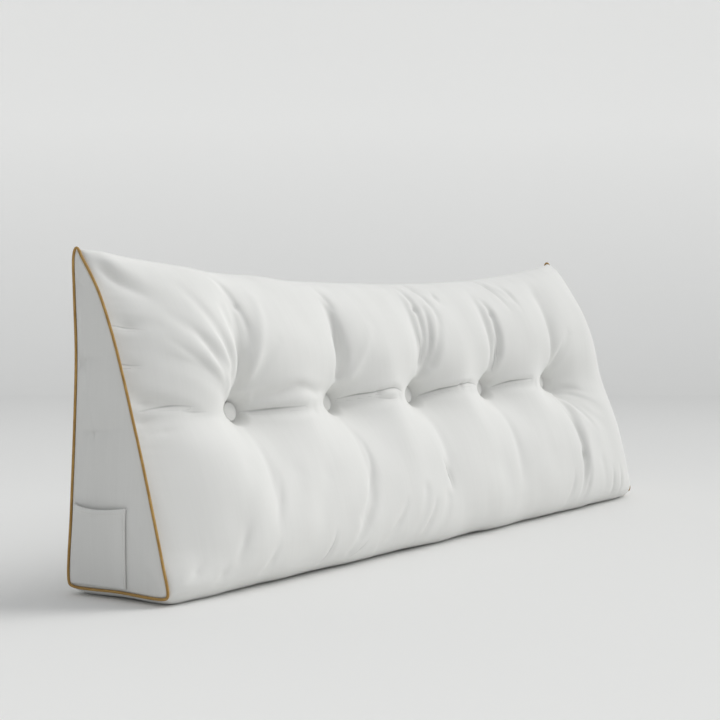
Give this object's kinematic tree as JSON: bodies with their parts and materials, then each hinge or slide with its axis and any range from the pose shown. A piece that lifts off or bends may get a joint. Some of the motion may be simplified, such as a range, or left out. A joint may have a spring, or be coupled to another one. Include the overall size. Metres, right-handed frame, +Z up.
{
  "type": "backrest pillow",
  "caption": "Long upright wedge pillow of brushed cloth, with a button-tufted front, sagging top, piped ends and a pocket on one end.",
  "frame": {"origin": "middle of the base, on the surface that the pillow stands on", "axes": "+X along the length to the end without a pocket, -Y out of the tufted front, +Z up"},
  "size_m": [1.5156, 0.2602, 0.5028],
  "materials": {
    "brushed_cloth": "off-white short-pile brushed cloth with faint upright nap streaks and a soft sheen",
    "panel_cloth": "the same off-white brushed cloth, cut flat for the ends and the pocket",
    "button_cloth": "the same off-white cloth stretched over a round button",
    "golden_piping": "golden tan satin-covered cord with a dull shine"
  },
  "bodies": {
    "root": {"cushion_body": "brushed_cloth", "end_panel_left": "panel_cloth", "end_panel_right": "panel_cloth", "piping_left": "golden_piping", "piping_right": "golden_piping", "button_1": "button_cloth", "button_2": "button_cloth", "button_3": "button_cloth", "button_4": "button_cloth", "button_5": "button_cloth", "side_pocket": "panel_cloth"}
  },
  "joints": []
}
